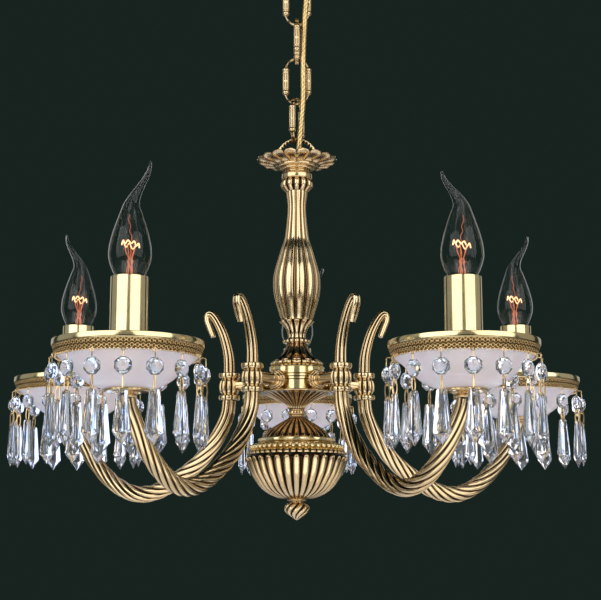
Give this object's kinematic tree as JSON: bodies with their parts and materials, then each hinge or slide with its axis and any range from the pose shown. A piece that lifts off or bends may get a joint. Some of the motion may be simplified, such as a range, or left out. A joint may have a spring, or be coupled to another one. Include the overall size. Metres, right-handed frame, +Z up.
{
  "type": "multi arm chandelier",
  "caption": "Brass chandelier on a chain, with curved arms, candle lamps, frosted glass dishes and crystal drops under a ceiling rose.",
  "frame": {"origin": "on the ceiling plane, midway between the two ceiling screws, on the lamp's vertical axis", "axes": "+Z up into the ceiling, -Y towards the front, +X to the right of a person facing the front; arm 1 points to +Y"},
  "size_m": [0.5498, 0.5292, 0.5646],
  "materials": {
    "antique_brass": "cast, burnished on the high spots, dark in the recesses",
    "satin_brass": "satin, lightly aged",
    "polished_brass": "polished and lacquered",
    "zinc_steel": "zinc plated",
    "white_plastic": "matt",
    "holder_ceramic": "moulded, matt",
    "cable_sheath": "translucent gold sheath",
    "frosted_glass": "acid frosted, faintly pink",
    "clear_glass": "clear, blown",
    "cap_aluminium": "bright rolled thread",
    "crystal": "clear, cut and polished"
  },
  "bodies": {
    "ceiling_fixing": {"ceiling_bracket": "zinc_steel", "ceiling_hook": "zinc_steel", "terminal_block": "white_plastic", "power_cable": "cable_sheath"},
    "rose": {"ceiling_rose": "satin_brass", "rose_screws": "satin_brass"},
    "link_1": {"chain_link_1": "antique_brass"},
    "link_2": {"chain_link_2": "antique_brass"},
    "link_3": {"chain_link_3": "antique_brass"},
    "link_4": {"chain_link_4": "antique_brass"},
    "chandelier": {"hanging_loop": "antique_brass", "top_cup": "antique_brass", "neck_collar": "antique_brass", "neck_tulip": "antique_brass", "stem": "antique_brass", "stem_foot": "antique_brass", "hub_cap": "antique_brass", "hub_bead_ring": "satin_brass", "hub": "polished_brass", "hub_bell": "antique_brass", "waist_ring": "satin_brass", "bowl_lid": "antique_brass", "pearl_ring": "satin_brass", "bowl": "antique_brass", "finial": "antique_brass", "centre_tube": "zinc_steel", "arm_wires": "white_plastic", "arm_tube_1": "antique_brass", "arm_tube_2": "antique_brass", "arm_tube_3": "antique_brass", "arm_tube_4": "antique_brass", "arm_tube_5": "antique_brass", "arm_clamps": "satin_brass", "arm_scrolls": "antique_brass", "dish_collars": "satin_brass", "glass_dishes": "frosted_glass", "gallery_rings": "polished_brass", "candle_sleeves": "polished_brass", "lampholders": "holder_ceramic", "pendant_wires": "satin_brass", "pendants_1": "crystal", "pendants_2": "crystal", "pendants_3": "crystal", "pendants_4": "crystal", "pendants_5": "crystal"},
    "cap_1": {"bulb_cap_1": "cap_aluminium"},
    "bulb_1": {"bulb_glass_1": "clear_glass"},
    "swing_drop_1": {"drop_1": "crystal"},
    "cap_2": {"bulb_cap_2": "cap_aluminium"},
    "bulb_2": {"bulb_glass_2": "clear_glass"},
    "swing_drop_2": {"drop_2": "crystal"},
    "cap_3": {"bulb_cap_3": "cap_aluminium"},
    "bulb_3": {"bulb_glass_3": "clear_glass"},
    "swing_drop_3": {"drop_3": "crystal"},
    "cap_4": {"bulb_cap_4": "cap_aluminium"},
    "bulb_4": {"bulb_glass_4": "clear_glass"},
    "swing_drop_4": {"drop_4": "crystal"},
    "cap_5": {"bulb_cap_5": "cap_aluminium"},
    "bulb_5": {"bulb_glass_5": "clear_glass"},
    "swing_drop_5": {"drop_5": "crystal"}
  },
  "joints": [
    {"name": "rose_slide", "type": "slide", "parent": "ceiling_fixing", "child": "rose", "axis": [0, 0, -1], "range_m": [0, 0.045]},
    {"name": "chain_swing_1", "type": "hinge", "parent": "ceiling_fixing", "child": "link_1", "pos_m": [0, 0, -0.05635], "axis": [1, 0, 0], "range_deg": [-12, 12], "deforming": ["power_cable"]},
    {"name": "chain_swing_2", "type": "hinge", "parent": "link_1", "child": "link_2", "pos_m": [0, 0, -0.09575], "axis": [0, 1, 0], "range_deg": [-12, 12]},
    {"name": "chain_swing_3", "type": "hinge", "parent": "link_2", "child": "link_3", "pos_m": [0, 0, -0.13515], "axis": [1, 0, 0], "range_deg": [-12, 12]},
    {"name": "chain_swing_4", "type": "hinge", "parent": "link_3", "child": "link_4", "pos_m": [0, 0, -0.17455], "axis": [0, 1, 0], "range_deg": [-12, 12]},
    {"name": "chain_swing_5", "type": "hinge", "parent": "link_4", "child": "chandelier", "pos_m": [0, 0, -0.21395], "axis": [1, 0, 0], "range_deg": [-12, 12]},
    {"name": "cap_rise_1", "type": "slide", "parent": "chandelier", "child": "cap_1", "axis": [0, 0, 1], "range_m": [0, 0.01128]},
    {"name": "bulb_turn_1", "type": "hinge", "parent": "cap_1", "child": "bulb_1", "pos_m": [0, 0.222, -0.38], "axis": [0, 0, 1], "range_deg": [0, 1440]},
    {"name": "cap_rise_2", "type": "slide", "parent": "chandelier", "child": "cap_2", "axis": [0, 0, 1], "range_m": [0, 0.01128]},
    {"name": "bulb_turn_2", "type": "hinge", "parent": "cap_2", "child": "bulb_2", "pos_m": [-0.21113, 0.0686, -0.38], "axis": [0, 0, 1], "range_deg": [0, 1440]},
    {"name": "cap_rise_3", "type": "slide", "parent": "chandelier", "child": "cap_3", "axis": [0, 0, 1], "range_m": [0, 0.01128]},
    {"name": "bulb_turn_3", "type": "hinge", "parent": "cap_3", "child": "bulb_3", "pos_m": [-0.13049, -0.1796, -0.38], "axis": [0, 0, 1], "range_deg": [0, 1440]},
    {"name": "cap_rise_4", "type": "slide", "parent": "chandelier", "child": "cap_4", "axis": [0, 0, 1], "range_m": [0, 0.01128]},
    {"name": "bulb_turn_4", "type": "hinge", "parent": "cap_4", "child": "bulb_4", "pos_m": [0.13049, -0.1796, -0.38], "axis": [0, 0, 1], "range_deg": [0, 1440]},
    {"name": "cap_rise_5", "type": "slide", "parent": "chandelier", "child": "cap_5", "axis": [0, 0, 1], "range_m": [0, 0.01128]},
    {"name": "bulb_turn_5", "type": "hinge", "parent": "cap_5", "child": "bulb_5", "pos_m": [0.21113, 0.0686, -0.38], "axis": [0, 0, 1], "range_deg": [0, 1440]},
    {"name": "drop_swing_1", "type": "hinge", "parent": "chandelier", "child": "swing_drop_1", "pos_m": [0.00939, 0.28126, -0.4425], "axis": [0.9877, -0.1564, 0], "range_deg": [-20, 60]},
    {"name": "drop_swing_2", "type": "hinge", "parent": "chandelier", "child": "swing_drop_2", "pos_m": [-0.26904, 0.08433, -0.4425], "axis": [0.2622, 0.965, 0], "range_deg": [-20, 60]},
    {"name": "drop_swing_3", "type": "hinge", "parent": "chandelier", "child": "swing_drop_3", "pos_m": [-0.16977, -0.22495, -0.4425], "axis": [-0.7559, 0.6547, 0], "range_deg": [-20, 60]},
    {"name": "drop_swing_4", "type": "hinge", "parent": "chandelier", "child": "swing_drop_4", "pos_m": [0.17224, -0.22269, -0.4425], "axis": [-0.7181, -0.6959, 0], "range_deg": [-20, 60]},
    {"name": "drop_swing_5", "type": "hinge", "parent": "chandelier", "child": "swing_drop_5", "pos_m": [0.27005, 0.07995, -0.4425], "axis": [0.1891, -0.982, 0], "range_deg": [-20, 60]}
  ],
  "couplings": [
    {"joint": "bulb_turn_1", "follows": "cap_rise_1", "rad_per_m": 2228.1},
    {"joint": "bulb_turn_2", "follows": "cap_rise_2", "rad_per_m": 2228.1},
    {"joint": "bulb_turn_3", "follows": "cap_rise_3", "rad_per_m": 2228.1},
    {"joint": "bulb_turn_4", "follows": "cap_rise_4", "rad_per_m": 2228.1},
    {"joint": "bulb_turn_5", "follows": "cap_rise_5", "rad_per_m": 2228.1}
  ]
}
